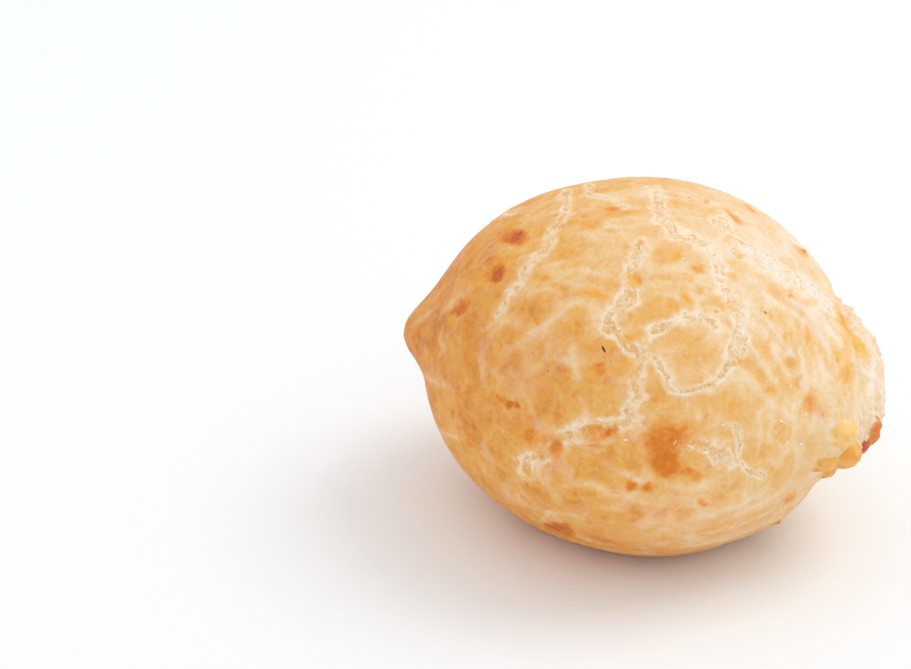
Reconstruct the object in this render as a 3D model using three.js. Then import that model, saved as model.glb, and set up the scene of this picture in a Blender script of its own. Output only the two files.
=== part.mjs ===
import * as THREE from 'three';
import { mergeVertices } from 'three/addons/utils/BufferGeometryUtils.js';

// Pao de queijo: a cheese-bread ball, baked on a tray until its thin crust splits.
// It is one piece of dough, so it is one closed solid. Its relief is the real crust's:
// cracks that show the crumb, flakes, a scorched blister, a torn end and melted cheese.
// Millimetres, +Z up. The ball lies along X and rests on its baked flat at z = 0.

// ---- Driving dimensions ----

const MIDDLE_HEIGHT = 20;        // from the resting flat up to the ball's middle
const FLAT_SOFTNESS = 0.25;      // how gently the crust rolls into the flat
const COARSE_RINGS = 15;         // how finely each face of the starting solid is split
const FINE_EDGE = 0.95;          // longest edge wanted on a mark
const FINE_MARGIN = 0.3;         // how far past a mark the fine edges go
const REFINING_ROUNDS = 2;       // times that long edges are halved there

// Risen dough: a round belly, with fuller parts that run into it. All places are
// measured from the ball's middle; "blend" is how far one part melts into the others.
const BELLY = { centre: [0.5, 0, 0.3], radii: [25, 25.5, 23] };
const SWELLS = {
  drawnTip: { centre: [-17.5, 1.5, 3], radii: [12.6, 5.6, 5.6], blend: 5 },
  shoulder: { centre: [-7.5, 4, -1], radii: [20.5, 20.5, 20.5], blend: 5 },
  hip: { centre: [12, -5, -9], radii: [8, 8, 8], blend: 5 },
  tornEnd: { centre: [18, -2, -0.3], radii: [11.6, 15, 11], blend: 2 },
};

// A place on the crust is a bearing and a rise, in degrees. The bearing goes round the
// ball from its front (-Y), growing towards +X; the rise goes up from its middle.
const CRACKS = {
  brow: {
    width: 1.2, depth: 0.45,
    route: [[-123, 60], [-80, 64], [-68, 59], [-59, 54], [-61, 47], [-57, 41], [-56, 32]],
  },
  spine: {
    width: 1.7, depth: 0.6,
    route: [[-6, 66], [-6, 57], [-5, 53], [-7, 48], [-14, 42], [-14, 39], [-7, 34], [-1, 31]],
  },
  leftFork: { width: 1.3, depth: 0.5, route: [[-1, 31], [-2, 21], [-4, 16], [-2, 12]] },
  rightFork: { width: 1.2, depth: 0.45, route: [[-1, 31], [6, 27], [10, 21], [16, 22], [20, 24]] },
  arch: {
    width: 0.9, depth: 0.35,
    route: [[-1, 32], [3, 38], [9, 41], [16, 42], [22, 40], [30, 36]],
  },
  flank: { width: 1.3, depth: 0.5, route: [[38, 54], [35, 44], [31, 34], [25, 27], [20, 24]] },
  rawBand: {
    width: 3.4, depth: 0.4,
    route: [[70, 67], [57, 61], [57, 56], [66, 44], [77, 31], [84, 24]],
  },
  crown: {
    width: 1.6, depth: 0.3,
    route: [[177, 82], [46, 86], [16, 77], [21, 70], [38, 63], [54, 62]],
  },
  crownEdge: { width: 0.9, depth: 0.3, route: [[-135, 63], [-111, 70], [-85, 79], [-49, 80]] },
  seam: { width: 0.7, depth: 0.25, route: [[-44, 26], [-33, 38], [-28, 44], [-14, 43]] },
  belt: { width: 1.5, depth: 0.6, route: [[-22, 6], [-18, 9], [-10, 12], [0, 13]] },
  beltTail: { width: 1.1, depth: 0.3, route: [[-36, -12], [-32, -4], [-22, 4]] },
  rightTwig: { width: 0.9, depth: 0.35, route: [[26, 11], [26, 3], [29, -2], [34, -6]] },
  rightCrumb: { width: 1.2, depth: 0.4, route: [[14, 9], [20, 5], [25, 0]] },
  underBlister: { width: 0.8, depth: 0.35, route: [[5, -3], [11, -5], [16, -5], [22, -3]] },
  foot: { width: 0.8, depth: 0.35, route: [[-10, -9], [-4, -8], [6, -12]] },
  backFork: {
    width: 1.5, depth: 0.55,
    route: [[116, 52], [133, 37], [150, 28], [158, 12], [174, 2]],
  },
  backArch: { width: 1.1, depth: 0.4, route: [[150, 28], [168, 37], [-175, 50], [-158, 60]] },
  backSeam: {
    width: 1.4, depth: 0.5,
    route: [[-108, 46], [-121, 33], [-140, 24], [-152, 8], [-148, -10]],
  },
  backTwig: { width: 0.9, depth: 0.35, route: [[-140, 24], [-160, 27], [-176, 20]] },
  tipSeam: { width: 0.8, depth: 0.3, route: [[-96, -4], [-108, 6], [-124, 8], [-140, 24]] },
  endTwig: { width: 0.9, depth: 0.35, route: [[100, 20], [112, 8], [130, 2], [140, -14]] },
};

// Edges where the thin crust stands up over what lies beside it. Walking along the
// route, the crust is raised on the left by "lift" and the crumb sinks by "drop" on
// the right; both fade away over "fade".
const FLAKES = {
  blisterLip: { lift: 0.45, drop: 0.2, fade: 2.2, route: [[3, -7], [1, 1], [-1, 8], [0, 13]] },
  tornRim: {
    lift: 0.2, drop: 0.9, fade: 2.4,
    route: [[66, 5], [69, 11], [75, 17], [86, 23], [97, 26], [108, 22], [115, 12], [115, 0]],
  },
  fold: { lift: 0.55, drop: 0.1, fade: 1.3, route: [[-21, 4], [-13, 6], [-6, 7]] },
};

// Folds: the soft dough, drawn out as it rose, wrinkled into low rounded ridges.
const FOLDS = {
  endFoldUpper: {
    height: 0.22, width: 0.9,
    route: [[45, 49], [54, 43], [62, 34], [65, 22], [61, 12], [60, 7]],
  },
  endFoldMiddle: { height: 0.2, width: 0.9, route: [[38, 44], [44, 35], [49, 23], [52, 11]] },
  endFoldInner: { height: 0.16, width: 0.8, route: [[28, 42], [34, 31], [38, 22], [42, 14]] },
  heelFold: { height: 0.2, width: 0.9, route: [[19, -26], [33, -25], [47, -23], [58, -17]] },
  tipFold: { height: 0.18, width: 0.8, route: [[-84, 13], [-80, 24], [-71, 32]] },
};

// Melted cheese and browned crumbs stand proud; blisters and pits sink in. The height
// falls away from the place as a bell of the given radius.
const KNOBS = {
  cheeseLump: { at: [59, 1], height: 1.1, radius: 1.7 },
  cheeseDrip: { at: [60, -7], height: 1.3, radius: 1.6 },
  cheeseRoot: { at: [56, -4], height: 0.6, radius: 1.6 },
  friedNub: { at: [71, -2], height: 1.2, radius: 1.0 },
  friedNubTail: { at: [69, -6], height: 0.8, radius: 0.8 },
  crownCrumb: { at: [92, 41], height: 0.7, radius: 0.9 },
  endCrumbHigh: { at: [88, 29], height: 0.5, radius: 0.7 },
  endCrumbMid: { at: [88, 20], height: 0.5, radius: 0.8 },
  endCrumbLow: { at: [90, 12], height: 0.4, radius: 0.8 },
  heelCrumb: { at: [53, -33], height: 0.7, radius: 0.7 },
  tipCrumb: { at: [-70, -17], height: 0.4, radius: 0.8 },
  foldRoll: { at: [-13, 8], height: 0.5, radius: 0.8 },
  blister: { at: [6, 6], height: -0.8, radius: 2.1 },
  blisterHigh: { at: [5, 11], height: -0.3, radius: 1.2 },
  beltPit: { at: [-24, 4], height: -0.6, radius: 0.8 },
  foldPit: { at: [-8, 10], height: -0.5, radius: 0.7 },
  footPitLeft: { at: [-1, -5], height: -0.5, radius: 0.5 },
  footPitRight: { at: [2, -6], height: -0.6, radius: 0.45 },
  spinePit: { at: [-4, 53], height: -0.4, radius: 0.5 },
};

// Dough never bakes even: long shallow swells everywhere, tight ones on the torn end.
const SWELL_HEIGHT = 0.16;
const SWELL_LENGTH = 5.2;
const CRUMB_HEIGHT = 0.3;
const CRUMB_LENGTH = 1.5;
const CRUMB_CENTRE = [24, -2, 0];
const CRUMB_REACH = 9;

const ROUTE_STEP = 8;            // most degrees between two points of a route
const CRACK_END_SHARE = 0.6;     // of a crack's width, left where it runs out
const CRACK_TAPER = 0.1;         // share of its length in which its width stops falling
const LIP_HEIGHT = 0.3;          // of a crack's raised edge, as a share of its depth
const LIP_WIDTH = 0.45;          // of that edge
const FLAKE_EDGE = 0.35;         // how far a flake's edge takes to drop
const FLAKE_FULLNESS = 0.5;      // how soon a flake reaches its height from its ends
const KNOB_SPREAD = 1.5;         // radii around a knob that get fine edges
const WAVE_BEND = 1.3;           // how far the swells across are bent by those lengthwise
const WAVE_LEAN = 1.1;           // how far the swells lengthwise lean with the height
const WAVE_START = 0.4;          // where along their length the swells begin
const WAVE_RISE = 0.9;           // how fast they follow each other upwards
const WAVE_SLANT = 0.5;          // how far those upwards slope towards the torn end

// ---- The smooth form ----

const vector = (numbers) => new THREE.Vector3(...numbers);

// The way from the ball's middle towards a bearing and a rise.
function toward([bearing, rise]) {
  const around = THREE.MathUtils.degToRad(bearing);
  const up = THREE.MathUtils.degToRad(rise);
  return new THREE.Vector3(
    Math.sin(around) * Math.cos(up),
    -Math.cos(around) * Math.cos(up),
    Math.sin(up),
  );
}

// How far out a ray from the ball's middle leaves one of the rounded masses.
function farSide(direction, { centre, radii }) {
  const scale = vector(radii);
  const ray = direction.clone().divide(scale);
  const offset = vector(centre).divide(scale);
  const along = ray.dot(offset);
  const length = ray.lengthSq();
  const inside = along * along - length * (offset.lengthSq() - 1);
  return inside > 0 ? Math.max((along + Math.sqrt(inside)) / length, 0) : 0;
}

// The larger of two numbers, with the corner between them rounded over "softness".
function softMax(a, b, softness) {
  const share = THREE.MathUtils.clamp(0.5 + (0.5 * (a - b)) / softness, 0, 1);
  return THREE.MathUtils.lerp(b, a, share) + softness * share * (1 - share);
}

function smoothReach(direction) {
  let reach = farSide(direction, BELLY);
  for (const swell of Object.values(SWELLS)) {
    reach = softMax(reach, farSide(direction, swell), swell.blend);
  }
  return reach;
}

const onForm = (place) => {
  const direction = toward(place);
  return direction.multiplyScalar(smoothReach(direction));
};

// ---- Marks in the crust ----

// A route laid over the form, with a point added wherever its corners lie far apart.
function layRoute(route) {
  const points = [onForm(route[0])];
  for (let i = 1; i < route.length; i += 1) {
    const from = toward(route[i - 1]);
    const to = toward(route[i]);
    const count = Math.ceil(THREE.MathUtils.radToDeg(from.angleTo(to)) / ROUTE_STEP);
    for (let k = 1; k <= count; k += 1) {
      const direction = from.clone().lerp(to, k / count).normalize();
      points.push(direction.multiplyScalar(smoothReach(direction)));
    }
  }
  return points;
}

// The distance from a point to a route, the side of it that the point is on, and how
// far along the route its nearest point lies, from 0 to 1.
function measureFrom(path, point) {
  let best = { distance: Infinity, side: 1, along: 0 };
  for (let i = 1; i < path.length; i += 1) {
    const run = path[i].clone().sub(path[i - 1]);
    const offset = point.clone().sub(path[i - 1]);
    const share = THREE.MathUtils.clamp(offset.dot(run) / run.lengthSq(), 0, 1);
    const distance = offset.distanceTo(run.clone().multiplyScalar(share));
    if (distance < best.distance) {
      const side = Math.sign(run.cross(offset).dot(point)) || 1;
      best = { distance, side, along: (i - 1 + share) / (path.length - 1) };
    }
  }
  return best;
}

const cracks = Object.values(CRACKS).map((crack) => ({ ...crack, path: layRoute(crack.route) }));
const flakes = Object.values(FLAKES).map((flake) => ({ ...flake, path: layRoute(flake.route) }));
const folds = Object.values(FOLDS).map((fold) => ({ ...fold, path: layRoute(fold.route) }));
const knobs = Object.values(KNOBS).map((knob) => ({ ...knob, point: onForm(knob.at) }));

const bell = (distance, radius) => Math.exp(-((distance / radius) ** 2));

// How full a mark is along its route: 1 in its middle, 0 at its two ends.
const fullness = (along) => Math.sin(Math.PI * along);

// A crack is a round-bottomed groove with a low raised lip along each side.
function crackRelief(point) {
  let sunk = 0;
  let raised = 0;
  for (const { width, depth, path } of cracks) {
    const { distance, along } = measureFrom(path, point);
    const inner = THREE.MathUtils.clamp(along, CRACK_TAPER, 1 - CRACK_TAPER);
    const half = (width / 2) * THREE.MathUtils.lerp(CRACK_END_SHARE, 1, fullness(inner));
    sunk = Math.min(sunk, -depth * Math.max(1 - (distance / half) ** 2, 0));
    raised = Math.max(raised, LIP_HEIGHT * depth * bell(distance - half - LIP_WIDTH, LIP_WIDTH));
  }
  return sunk < 0 ? sunk : raised;
}

function flakeRelief(point) {
  let height = 0;
  for (const { lift, drop, fade, path } of flakes) {
    const { distance, side, along } = measureFrom(path, point);
    const away = bell(distance, fade) * fullness(along) ** FLAKE_FULLNESS;
    const across = THREE.MathUtils.smoothstep(side * distance, -FLAKE_EDGE, FLAKE_EDGE);
    height += away * THREE.MathUtils.lerp(-drop, lift, across);
  }
  return height;
}

function foldRelief(point) {
  let height = 0;
  for (const fold of folds) {
    const { distance, along } = measureFrom(fold.path, point);
    height = Math.max(height, fold.height * bell(distance, fold.width / 2) * fullness(along));
  }
  return height;
}

function knobRelief(point) {
  let height = 0;
  for (const knob of knobs) {
    height += knob.height * bell(point.distanceTo(knob.point), knob.radius);
  }
  return height;
}

// Crossing waves, the same in every direction, between -1 and 1.
function waves(point, length) {
  const { x, y, z } = point.clone().divideScalar(length);
  const across = Math.sin(x + WAVE_BEND * Math.sin(y + WAVE_START));
  const lengthwise = Math.cos(y - WAVE_LEAN * Math.sin(z));
  return across * lengthwise * Math.cos(WAVE_RISE * z + WAVE_SLANT * x);
}

function unevenness(point) {
  const torn = bell(point.distanceTo(vector(CRUMB_CENTRE)), CRUMB_REACH);
  const swell = SWELL_HEIGHT * waves(point, SWELL_LENGTH);
  return swell + CRUMB_HEIGHT * torn * waves(point, CRUMB_LENGTH);
}

function relief(point) {
  const marks = crackRelief(point) + flakeRelief(point) + foldRelief(point);
  return marks + knobRelief(point) + unevenness(point);
}

// ---- The skin of triangles ----

// Whether a place needs short edges: it is on or close beside a mark.
function isMarked(point) {
  for (const { width, path } of cracks) {
    if (measureFrom(path, point).distance < width / 2 + FINE_MARGIN) return true;
  }
  for (const { path } of [...flakes, ...folds]) {
    if (measureFrom(path, point).distance < FINE_MARGIN) return true;
  }
  return knobs.some((knob) => point.distanceTo(knob.point) < knob.radius * KNOB_SPREAD);
}

// Halves every marked edge that is too long. Both triangles beside an edge use the same
// new point, so the skin stays closed.
function halveMarkedEdges(points, triangles) {
  const middles = new Map();
  const middleOf = (a, b) => {
    const key = a < b ? `${a}_${b}` : `${b}_${a}`;
    if (!middles.has(key)) {
      const direction = points[a].clone().add(points[b]).normalize();
      const middle = direction.multiplyScalar(smoothReach(direction));
      const long = points[a].distanceTo(points[b]) > FINE_EDGE;
      middles.set(key, long && isMarked(middle) ? points.push(middle) - 1 : null);
    }
    return middles.get(key);
  };
  return triangles.flatMap((triangle) => splitTriangle(triangle, middleOf));
}

// One triangle cut at the new points on its edges: none, one, two or all three.
function splitTriangle(triangle, middleOf) {
  const cuts = triangle.map((corner, i) => middleOf(corner, triangle[(i + 1) % 3]));
  const count = cuts.filter((cut) => cut !== null).length;
  if (count === 0) return [triangle];
  const odd = cuts.findIndex((cut) => (cut !== null) === (count === 1));
  const first = count === 3 ? 0 : odd;
  const [a, b, c] = [0, 1, 2].map((i) => triangle[(first + i) % 3]);
  const [ab, bc, ca] = [0, 1, 2].map((i) => cuts[(first + i) % 3]);
  if (count === 1) return [[a, ab, c], [ab, b, c]];
  if (count === 2) return [[a, b, bc], [a, bc, ca], [ca, bc, c]];
  return [[a, ab, ca], [ab, b, bc], [ca, bc, c], [ab, bc, ca]];
}

// The part's origin is under the middle of the ball's length and width.
function centredOnBase(geometry) {
  geometry.computeBoundingBox();
  const middle = geometry.boundingBox.getCenter(new THREE.Vector3());
  return geometry.translate(-middle.x, -middle.y, 0);
}

function crustGeometry() {
  const sphere = new THREE.IcosahedronGeometry(1, COARSE_RINGS);
  sphere.deleteAttribute('normal');
  sphere.deleteAttribute('uv');
  const start = mergeVertices(sphere, 1e-4);
  const position = start.getAttribute('position');
  const points = [];
  for (let i = 0; i < position.count; i += 1) {
    const direction = new THREE.Vector3().fromBufferAttribute(position, i).normalize();
    points.push(direction.clone().multiplyScalar(smoothReach(direction)));
  }
  let triangles = [];
  for (let i = 0; i < start.index.count; i += 3) {
    triangles.push([start.index.getX(i), start.index.getX(i + 1), start.index.getX(i + 2)]);
  }
  for (let round = 0; round < REFINING_ROUNDS; round += 1) {
    triangles = halveMarkedEdges(points, triangles);
  }
  const skin = points.map((point) => {
    const moved = point.clone().addScaledVector(point.clone().normalize(), relief(point));
    moved.z = softMax(moved.z + MIDDLE_HEIGHT, 0, FLAT_SOFTNESS);
    return moved;
  });
  const geometry = new THREE.BufferGeometry().setFromPoints(skin);
  geometry.setIndex(triangles.flat());
  geometry.computeVertexNormals();
  return centredOnBase(geometry);
}

// ---- The baked ball ----

const bakedDough = new THREE.MeshStandardMaterial({ color: '#e6b67c', roughness: 0.72, metalness: 0 });

const ball = new THREE.Mesh(crustGeometry(), bakedDough);
ball.name = 'cheese_ball';

const part = new THREE.Group();
part.add(ball);

export default part;
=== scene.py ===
import math

import bmesh
import bpy
import numpy as np
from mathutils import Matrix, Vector, noise


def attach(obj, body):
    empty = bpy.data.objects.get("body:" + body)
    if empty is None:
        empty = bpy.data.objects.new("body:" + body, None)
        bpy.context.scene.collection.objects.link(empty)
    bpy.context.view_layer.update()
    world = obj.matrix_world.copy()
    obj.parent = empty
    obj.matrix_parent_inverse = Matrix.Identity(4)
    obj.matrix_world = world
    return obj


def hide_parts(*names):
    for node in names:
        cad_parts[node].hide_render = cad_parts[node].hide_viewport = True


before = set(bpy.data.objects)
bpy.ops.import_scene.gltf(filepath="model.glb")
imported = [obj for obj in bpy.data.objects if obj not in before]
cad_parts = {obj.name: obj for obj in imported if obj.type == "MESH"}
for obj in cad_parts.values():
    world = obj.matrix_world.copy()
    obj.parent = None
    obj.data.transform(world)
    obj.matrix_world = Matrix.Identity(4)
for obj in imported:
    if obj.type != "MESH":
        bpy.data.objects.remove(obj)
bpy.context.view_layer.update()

# ---------------------------------------------------------------------------
# The risen dough. One piece of cassava dough with cheese in it, baked on a tray until
# it is lemon-shaped, with a drawn-out tip and a torn end. The crumb and the crust over
# it share this form. It is worked out in millimetres from the ball's middle.
# ---------------------------------------------------------------------------
MM = 0.001
MIDDLE = np.array([0.266, 0.019, 20])
FLAT_SOFTNESS = 0.25
BELLY = {"centre": (0.5, 0, 0.3), "radii": (25, 25.5, 23)}
SWELLS = {
    "drawn tip": {"centre": (-17.5, 1.5, 3), "radii": (12.6, 5.6, 5.6), "melt": 5},
    "shoulder": {"centre": (-7.5, 4, -1), "radii": (20.5, 20.5, 20.5), "melt": 5},
    "hip": {"centre": (12, -5, -9), "radii": (8, 8, 8), "melt": 5},
    "torn end": {"centre": (18, -2, -0.3), "radii": (11.6, 15, 11), "melt": 2},
}


def toward(bearing, rise):
    """The way from the ball's middle to a place on it. Its bearing goes round from the
    front (-Y), growing towards +X, and its rise goes up. Both are in degrees."""
    around, up = math.radians(bearing), math.radians(rise)
    return np.array([math.sin(around) * math.cos(up), -math.cos(around) * math.cos(up), math.sin(up)])


def far_side(ways, centre, radii):
    """How far out each way leaves a rounded mass, or 0 where it misses it."""
    rays = ways / np.array(radii)
    offset = np.divide(centre, radii)
    along = rays @ offset
    length = (rays * rays).sum(axis=1)
    inside = along**2 - length * (offset @ offset - 1)
    return np.where(inside > 0, (along + np.sqrt(np.maximum(inside, 0))) / length, 0)


def soft_max(a, b, softness):
    """The larger of two numbers, with the corner between them rounded."""
    share = np.clip(0.5 + 0.5 * (a - b) / softness, 0, 1)
    return a * share + b * (1 - share) + softness * share * (1 - share)


def smooth_reach(ways):
    """How far the smooth form reaches each way: the belly with its swells grown onto it."""
    reach = far_side(ways, **BELLY)
    for swell in SWELLS.values():
        reach = soft_max(reach, far_side(ways, swell["centre"], swell["radii"]), swell["melt"])
    return reach


def on_form(ways):
    """The points where the ways leave the smooth form."""
    return ways * smooth_reach(ways)[:, None]


def place_on_form(bearing, rise):
    """The point of the smooth form at a bearing and a rise."""
    return on_form(toward(bearing, rise)[None])[0]


def ball_mesh(cells):
    """A closed ball of even squares, one unit in radius, from a gridded cube."""
    shape = bmesh.new()
    bmesh.ops.create_cube(shape, size=2)
    bmesh.ops.subdivide_edges(shape, edges=shape.edges, cuts=cells - 1, use_grid_fill=True)
    for vertex in shape.verts:
        vertex.co = Vector(math.tan(math.pi / 4 * number) for number in vertex.co).normalized()
    return shape


def ways_of(shape):
    """The way from the middle to each corner of a ball that is still one unit in radius."""
    return np.array([vertex.co[:] for vertex in shape.verts])


def refine_where(shape, is_marked):
    """Cuts every edge in half that lies where marked, keeping the skin closed."""
    marked = set(np.flatnonzero(is_marked(on_form(ways_of(shape)))))
    shape.verts.index_update()
    edges = [edge for edge in shape.edges if {vertex.index for vertex in edge.verts} <= marked]
    bmesh.ops.subdivide_edges(shape, edges=edges, cuts=1, use_grid_fill=True)
    for vertex in shape.verts:
        vertex.co.normalize()


def finish_shape(name, shape, points, measures):
    """Sets a shape's points, in millimetres from the ball's middle, stands it on the
    table and keeps the measures that its material reads."""
    standing = points + MIDDLE
    standing[:, 2] = soft_max(standing[:, 2], 0, FLAT_SOFTNESS)
    for vertex, place in zip(shape.verts, standing * MM):
        vertex.co = place
    bmesh.ops.recalc_face_normals(shape, faces=shape.faces)
    mesh = bpy.data.meshes.new(name)
    shape.to_mesh(mesh)
    shape.free()
    mesh.polygons.foreach_set("use_smooth", [True] * len(mesh.polygons))
    for measure, values in measures.items():
        mesh.attributes.new(measure, "FLOAT", "POINT").data.foreach_set("value", values)
    piece = bpy.data.objects.new(name, mesh)
    bpy.context.collection.objects.link(piece)
    return piece


# ---------------------------------------------------------------------------
# The marks of baking. Steam splits the crust along these cracks, lifts flakes, draws
# the dough into wrinkles, and browns it in spots. Routes are (bearing, rise) degrees,
# widths, depths and heights are in millimetres.
# ---------------------------------------------------------------------------
# Cracks down to the crumb: (width, route).
CRACKS = {
    "brow": (0.85, [(-123, 60), (-80, 64), (-68, 59), (-59, 54), (-61, 47), (-57, 41), (-56, 32)]),
    "spine": (1.7, [(-6, 66), (-6, 60), (-7, 54), (-7, 48), (-10, 45), (-14, 41), (-13, 38)]),
    "spine toe": (0.7, [(-13, 38), (-7, 35), (-3, 33), (-1, 31)]),
    "left fork": (1.15, [(-1, 31), (-2, 21), (-4, 16), (-2, 12)]),
    "right fork": (0.65, [(-1, 31), (4, 30), (6, 27), (9, 22), (14, 22), (20, 23)]),
    "arch": (0.75, [(-1, 31), (1, 35), (3, 38), (8, 40), (14, 42), (22, 39), (30, 36), (33, 38)]),
    "flank head": (0.8, [(38, 58), (34, 52), (34, 46)]),
    "flank": (2.0, [(34, 47), (34, 42), (33, 37), (30, 31), (27, 28)]),
    "flank toe": (0.9, [(28, 29), (24, 26), (19, 23)]),
    "raw band": (3.2, [(70, 67), (57, 61), (57, 56), (66, 44), (77, 31), (84, 24)]),
    "crown": (1.4, [(177, 82), (46, 86), (16, 77), (21, 70), (38, 63), (54, 62)]),
    "crown edge": (0.6, [(-135, 63), (-111, 70), (-85, 79), (-49, 80)]),
    "belt": (1.1, [(-22, 6), (-18, 9), (-10, 12), (0, 13)]),
    "belt tail": (1.0, [(-35, -9), (-32, -4), (-22, 4)]),
    "right twig": (0.5, [(26, 11), (26, 3), (29, -2), (34, -6)]),
    "right crumb": (1.0, [(14, 9), (20, 5), (25, 0)]),
    "back fork": (1.5, [(116, 52), (133, 37), (150, 28), (158, 12), (174, 2)]),
    "back arch": (1.1, [(150, 28), (168, 37), (-175, 50), (-158, 60)]),
    "back seam": (1.4, [(-108, 46), (-121, 33), (-140, 24), (-152, 8), (-148, -10)]),
    "back twig": (0.9, [(-140, 24), (-160, 27), (-176, 20)]),
    "tip seam": (0.8, [(-96, -4), (-108, 6), (-124, 8), (-140, 24)]),
    "end twig": (0.9, [(100, 20), (112, 8), (130, 2), (140, -14)]),
}
# Where the crust ends, all round the torn end.
TORN_RIM = [
    (60, -6), (62, 0), (66, 5), (69, 11), (75, 17), (86, 23), (97, 26), (108, 22),
    (115, 12), (115, 0), (108, -10), (96, -16), (82, -16), (70, -12),
]
BLISTER_LIP = [(3, -7), (1, 1), (-1, 8), (0, 13)]
# Edges of crust that stand up: (lift on the left, drop on the right, reach, route).
FLAKES = {
    "blister lip": (0.45, 0.2, 2.2, BLISTER_LIP),
    "torn rim": (0.2, 0.9, 2.4, TORN_RIM[2:10]),
    "fold": (0.55, 0.1, 1.3, [(-21, 4), (-13, 6), (-6, 7)]),
}
# Folds of the skin: (height, width, route).
FOLDS = {
    "upper end": (0.22, 0.9, [(45, 49), (54, 43), (62, 34), (65, 22), (61, 12), (60, 7)]),
    "middle end": (0.2, 0.9, [(38, 44), (44, 35), (49, 23), (52, 11)]),
    "inner end": (0.16, 0.8, [(28, 42), (34, 31), (38, 22), (42, 14)]),
    "heel": (0.2, 0.9, [(19, -26), (33, -25), (47, -23), (58, -17)]),
    "tip": (0.1, 1.4, [(-88, 12), (-87, 15), (-86, 19), (-81, 25), (-70, 34), (-58, 39)]),
}
# Lumps, and hollows where the height is below 0: (bearing, rise, height, radius).
KNOBS = [
    (92, 41, 0.7, 0.9), (88, 29, 0.5, 0.7), (88, 20, 0.5, 0.8), (90, 12, 0.4, 0.8), (53, -33, 0.7, 0.7),
    (-70, -17, 0.4, 0.8), (-13, 8, 0.5, 0.8), (6, 6, -0.8, 2.1), (5, 11, -0.3, 1.2),
    (-24, 4, -0.6, 0.8), (-8, 10, -0.5, 0.7), (-1, -5, -0.5, 0.5), (2, -6, -0.6, 0.45),
    (-4, 53, -0.4, 0.5), (59, 0, 0.35, 2.2), (60, -8, 0.5, 2.3), (75, -4, 0.3, 1.8),
]
# Broad pleats where the dough was pulled before it tore.
PLEATS = [
    [(55, 37), (60, 30), (64, 23), (66, 19)],
    [(66, 35), (71, 28), (71, 20), (70, 17)],
    [(52, 29), (52, 22), (51, 15)],
    [(59, 24), (59, 16), (59, 13)],
    [(73, 15), (68, 11), (64, 8)],
    [(84, 26), (82, 21), (75, 17), (72, 14)],
    [(47, 38), (48, 31), (50, 25)],
    [(40, 34), (42, 28), (44, 21)],
    [(54, 12), (53, 7), (54, 3)],
    [(64, 14), (62, 10), (59, 6)],
]
# Fine wrinkles, where the skin dried first.
WRINKLES = [
    [(-46, 23), (-38, 32), (-33, 38), (-28, 44), (-21, 43), (-14, 43)],
    [(-53, 49), (-44, 49), (-34, 48), (-27, 47), (-21, 47), (-13, 49)],
    [(-29, 43), (-31, 39), (-34, 36), (-37, 32), (-39, 29), (-42, 26)],
    [(-59, 44), (-57, 39), (-56, 36), (-53, 30)],
    [(-49, 41), (-43, 44), (-36, 45)],
    [(-60, 62), (-47, 65), (-34, 65), (-22, 66), (-15, 66)],
    [(-76, 29), (-80, 23), (-82, 19), (-82, 16)],
    [(-89, 9), (-88, 12), (-86, 18)],
    [(-79, 16), (-77, 13), (-72, 12)],
    [(-30, 53), (-18, 53), (-11, 52)],
    [(-24, 32), (-22, 28)],
    [(-3, 63), (1, 56), (9, 56), (16, 56), (20, 58), (24, 61)],
    [(24, 61), (30, 61), (41, 58), (38, 54), (32, 50)],
    [(40, 47), (38, 42), (37, 38), (40, 35), (43, 30), (45, 27), (49, 22)],
    [(-99, 87), (-169, 84), (107, 88), (53, 85)],
    [(51, 46), (50, 43), (51, 40), (56, 35)],
    [(65, 30), (70, 23), (71, 18)],
    [(-18, 18), (-15, 16), (-17, 13), (-19, 10), (-21, 7)],
    [(-33, -1), (-29, -4), (-29, -9), (-39, -14)],
    [(-39, -19), (-39, -24)],
    [(-23, -9), (-18, -7), (-12, -6), (-8, -8), (-3, -7), (1, -8)],
    [(-81, -16), (-68, -12), (-58, -8)],
    [(-88, -3), (-73, 2), (-65, 5)],
    [(14, 19), (15, 15), (17, 13)],
    [(17, 6), (20, 8), (25, 7), (29, 4)],
    [(26, 4), (25, 1), (28, -2), (33, -6), (36, -7)],
    [(-36, -34), (-29, -24), (-24, -21), (-17, -20)],
    [(24, 33), (28, 27), (30, 23), (36, 17)],
    [(34, 18), (38, 14), (43, 10), (47, 4)],
    [(16, 11), (21, 13), (28, 9), (33, 6)],
    [(-8, 0), (0, -3), (4, -1)],
    [(18, -18), (23, -16), (32, -14), (38, -11)],
    [(-60, 24), (-54, 30), (-45, 32)],
    [(-27, 28), (-21, 26), (-18, 22)],
    [(-47, 70), (-28, 71), (-10, 74)],
    [(-90, 58), (-86, 63), (-76, 67)],
    [(18, -33), (36, -35), (54, -31)],
    [(24, -20), (37, -17), (50, -13)],
    [(174, 78), (113, 74), (79, 64)],
    [(-15, 79), (28, 71), (40, 61)],
    [(5, -3), (11, -5), (16, -5), (22, -3)],
    [(-10, -9), (-4, -8), (6, -12)],
]
SWELL_HEIGHT, SWELL_LENGTH = 0.16, 5.2
TORN_CENTRE, TORN_REACH = (24, -2, 0), 9
TORN_HEIGHT, TORN_LENGTH = 0.3, 1.5
FLAKE_EDGE = 0.35
ROUTE_STEP = 4
FAR_OFF = 50.0


def lay_route(route):
    """A route's corners joined over the form, with a point every few degrees."""
    corners = [toward(*place) for place in route]
    ways = [corners[0]]
    for start, end in zip(corners, corners[1:]):
        angle = math.degrees(math.acos(min(start @ end, 1)))
        count = max(math.ceil(angle / ROUTE_STEP), 1)
        ways += [start + (end - start) * step / count for step in range(1, count + 1)]
    ways = np.array(ways)
    return on_form(ways / np.linalg.norm(ways, axis=1)[:, None])


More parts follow.
